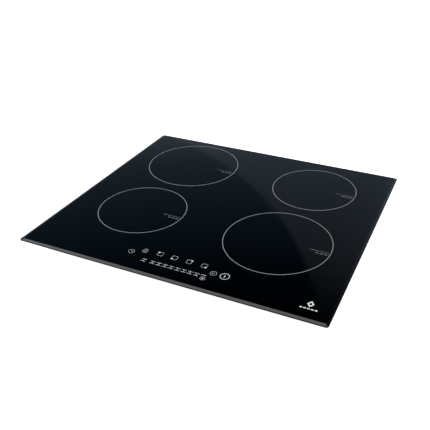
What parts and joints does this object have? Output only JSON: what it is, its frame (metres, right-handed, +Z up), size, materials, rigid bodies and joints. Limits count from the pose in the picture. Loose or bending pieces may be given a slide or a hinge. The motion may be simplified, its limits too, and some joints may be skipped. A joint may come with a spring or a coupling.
{
  "type": "built-in induction cooktop",
  "caption": "Built-in induction cooktop: bevelled black glass plate with printed zones and touch controls over a stepped steel case that drops into a worktop cut-out.",
  "frame": {"origin": "middle of the footprint at the underside of the case, which is the surface it stands on when not fitted", "axes": "+X to the cook's right along the glass's long side, +Y to the rear, +Z up out of the worktop"},
  "size_m": [0.59, 0.52, 0.0556],
  "materials": {
    "glass_black": "polished glass-ceramic, black all through, with a ground bevel",
    "print_grey": "fired enamel print, satin",
    "seal_foam": "closed-cell foam tape",
    "galvanised_steel": "zinc-coated sheet steel with a faint spangle",
    "zinc_screws": "zinc-plated",
    "aluminium_sheet": "mill finish",
    "aluminium_fins": "extruded",
    "moulded_black": "moulded glass-filled plastic",
    "insulating_disc": "pressed mica and fibre",
    "litz_copper": "enamelled copper litz wire",
    "ferrite": "sintered ferrite",
    "sensor_ceramic": "white ceramic",
    "spring_steel": "drawn spring wire",
    "circuit_board": "green solder mask",
    "transistor_epoxy": "moulded epoxy",
    "capacitor_film": "moulded box",
    "filter_blue": "moulded box",
    "ribbon_grey": "soft flat cable",
    "block_cream": "moulded block",
    "grommet_rubber": "soft moulded rubber"
  },
  "bodies": {
    "hob": {"glass_top": "glass_black", "zone_print": "print_grey", "control_print": "print_grey", "rim_seal": "seal_foam", "glass_frame": "galvanised_steel", "case_pan": "galvanised_steel", "case_screws": "zinc_screws", "tray_screws": "zinc_screws", "clamp_screws": "zinc_screws", "tray_posts": "zinc_screws", "coil_tray": "aluminium_sheet", "heat_sink_left": "aluminium_fins", "heat_sink_right": "aluminium_fins", "electronics_tray_left": "moulded_black", "electronics_tray_right": "moulded_black", "control_box": "moulded_black", "terminal_box": "moulded_black", "touch_springs": "spring_steel", "springs_rear_left": "spring_steel", "springs_rear_right": "spring_steel", "springs_front_left": "spring_steel", "springs_front_right": "spring_steel", "power_board_left": "circuit_board", "power_board_right": "circuit_board", "filter_board": "circuit_board", "touch_board": "circuit_board", "power_transistors": "transistor_epoxy", "capacitors": "capacitor_film", "filter_parts": "filter_blue", "ribbon_cable": "ribbon_grey", "terminal_block": "block_cream", "cable_grommet": "grommet_rubber"},
    "coil_unit_rear_left": {"insulation_rear_left": "insulating_disc", "coil_rear_left": "litz_copper", "carrier_rear_left": "moulded_black", "ferrites_rear_left": "ferrite", "sensor_rear_left": "sensor_ceramic"},
    "coil_unit_rear_right": {"insulation_rear_right": "insulating_disc", "coil_rear_right": "litz_copper", "carrier_rear_right": "moulded_black", "ferrites_rear_right": "ferrite", "sensor_rear_right": "sensor_ceramic"},
    "coil_unit_front_left": {"insulation_front_left": "insulating_disc", "coil_front_left": "litz_copper", "carrier_front_left": "moulded_black", "ferrites_front_left": "ferrite", "sensor_front_left": "sensor_ceramic"},
    "coil_unit_front_right": {"insulation_front_right": "insulating_disc", "coil_front_right": "litz_copper", "carrier_front_right": "moulded_black", "ferrites_front_right": "ferrite", "sensor_front_right": "sensor_ceramic"},
    "fan_left": {"fan_rotor_left": "moulded_black"},
    "fan_right": {"fan_rotor_right": "moulded_black"},
    "swing_clamp_rear_left": {"clamp_rear_left": "galvanised_steel"},
    "swing_clamp_rear_right": {"clamp_rear_right": "galvanised_steel"},
    "swing_clamp_front_left": {"clamp_front_left": "galvanised_steel"},
    "swing_clamp_front_right": {"clamp_front_right": "galvanised_steel"},
    "lid": {"terminal_lid": "moulded_black"}
  },
  "joints": [
    {"name": "float_rear_left", "type": "slide", "parent": "hob", "child": "coil_unit_rear_left", "axis": [0, 0, -1], "range_m": [0, 0.003], "stiffness_N_per_m": 4000, "springref_m": -0.006, "deforming": ["springs_rear_left"]},
    {"name": "float_rear_right", "type": "slide", "parent": "hob", "child": "coil_unit_rear_right", "axis": [0, 0, -1], "range_m": [0, 0.003], "stiffness_N_per_m": 4000, "springref_m": -0.006, "deforming": ["springs_rear_right"]},
    {"name": "float_front_left", "type": "slide", "parent": "hob", "child": "coil_unit_front_left", "axis": [0, 0, -1], "range_m": [0, 0.003], "stiffness_N_per_m": 4000, "springref_m": -0.006, "deforming": ["springs_front_left"]},
    {"name": "float_front_right", "type": "slide", "parent": "hob", "child": "coil_unit_front_right", "axis": [0, 0, -1], "range_m": [0, 0.003], "stiffness_N_per_m": 4000, "springref_m": -0.006, "deforming": ["springs_front_right"]},
    {"name": "fan_spin_left", "type": "hinge", "parent": "hob", "child": "fan_left", "pos_m": [-0.135, 0.04, 0.0035], "axis": [0, 0, 1], "continuous": true},
    {"name": "fan_spin_right", "type": "hinge", "parent": "hob", "child": "fan_right", "pos_m": [0.135, 0.04, 0.0035], "axis": [0, 0, 1], "continuous": true},
    {"name": "swing_rear_left", "type": "hinge", "parent": "hob", "child": "swing_clamp_rear_left", "pos_m": [-0.2695, 0.1595, 0.0112], "axis": [0, 0, 1], "range_deg": [0, 90]},
    {"name": "swing_rear_right", "type": "hinge", "parent": "hob", "child": "swing_clamp_rear_right", "pos_m": [0.2695, 0.1595, 0.0112], "axis": [0, 0, -1], "range_deg": [0, 90]},
    {"name": "swing_front_left", "type": "hinge", "parent": "hob", "child": "swing_clamp_front_left", "pos_m": [-0.2695, -0.1385, 0.0112], "axis": [0, 0, -1], "range_deg": [0, 90]},
    {"name": "swing_front_right", "type": "hinge", "parent": "hob", "child": "swing_clamp_front_right", "pos_m": [0.2695, -0.1385, 0.0112], "axis": [0, 0, 1], "range_deg": [0, 90]},
    {"name": "lid_drop", "type": "hinge", "parent": "hob", "child": "lid", "pos_m": [-0.19, 0.2385, 0.009], "axis": [-1, 0, 0], "range_deg": [0, 90]}
  ]
}
